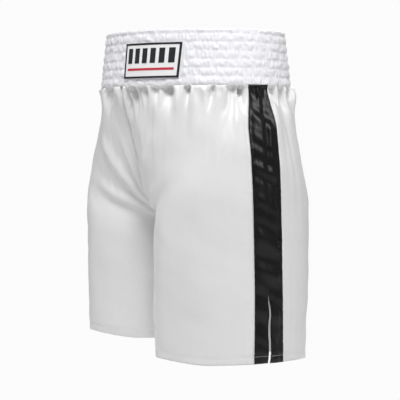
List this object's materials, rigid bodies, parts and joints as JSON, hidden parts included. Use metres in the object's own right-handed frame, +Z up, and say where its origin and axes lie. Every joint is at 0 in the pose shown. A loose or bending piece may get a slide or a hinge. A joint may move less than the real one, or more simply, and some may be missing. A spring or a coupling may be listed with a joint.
{
  "type": "boxing shorts",
  "caption": "Satin boxing trunks with a wide shirred elastic waistband, loose legs that swing at the hips, contrasting side stripes with hem slits and a plain woven emblem label.",
  "frame": {"origin": "middle of the waist opening, level with the top edge of the waistband", "axes": "+Z up out of the waist opening, +X to the wearer's left, -Y to the front"},
  "size_m": [0.378, 0.2835, 0.51],
  "materials": {
    "white_satin": "glossy polyester satin",
    "band_satin": "shirred satin, gathered over elastic",
    "black_satin": "glossy polyester satin",
    "elastic": "knitted elastic webbing",
    "white_thread": "polyester sewing thread",
    "black_thread": "polyester sewing thread",
    "label_white": "woven damask label",
    "label_black": "woven damask label",
    "label_red": "woven damask label"
  },
  "bodies": {
    "hips": {"waistband_casing": "band_satin", "waist_elastic": "elastic", "waistband_stitching": "white_thread", "waist_join_seam": "white_thread", "label_ground": "label_white", "label_border": "label_black", "label_bars": "label_black", "label_line": "label_red", "front_centre_seam": "white_thread", "back_centre_seam": "white_thread", "front_panel_left_hip": "white_satin", "back_panel_left_hip": "white_satin", "side_stripe_left_hip": "black_satin", "stripe_stitching_left_hip": "white_thread", "front_panel_right_hip": "white_satin", "back_panel_right_hip": "white_satin", "side_stripe_right_hip": "black_satin", "stripe_stitching_right_hip": "white_thread"},
    "left_leg": {"front_panel_left_leg": "white_satin", "back_panel_left_leg": "white_satin", "side_stripe_left_leg": "black_satin", "stripe_stitching_left_leg": "white_thread", "hem_stitching_left": "white_thread", "left_inseam": "white_thread", "vent_bartack_left": "black_thread"},
    "right_leg": {"front_panel_right_leg": "white_satin", "back_panel_right_leg": "white_satin", "side_stripe_right_leg": "black_satin", "stripe_stitching_right_leg": "white_thread", "hem_stitching_right": "white_thread", "right_inseam": "white_thread", "vent_bartack_right": "black_thread"}
  },
  "joints": [
    {"name": "left_leg_swing", "type": "hinge", "parent": "hips", "child": "left_leg", "pos_m": [0, 0, -0.156], "axis": [-1, 0, 0], "range_deg": [-18, 35]},
    {"name": "right_leg_swing", "type": "hinge", "parent": "hips", "child": "right_leg", "pos_m": [0, 0, -0.156], "axis": [-1, 0, 0], "range_deg": [-18, 35]}
  ]
}
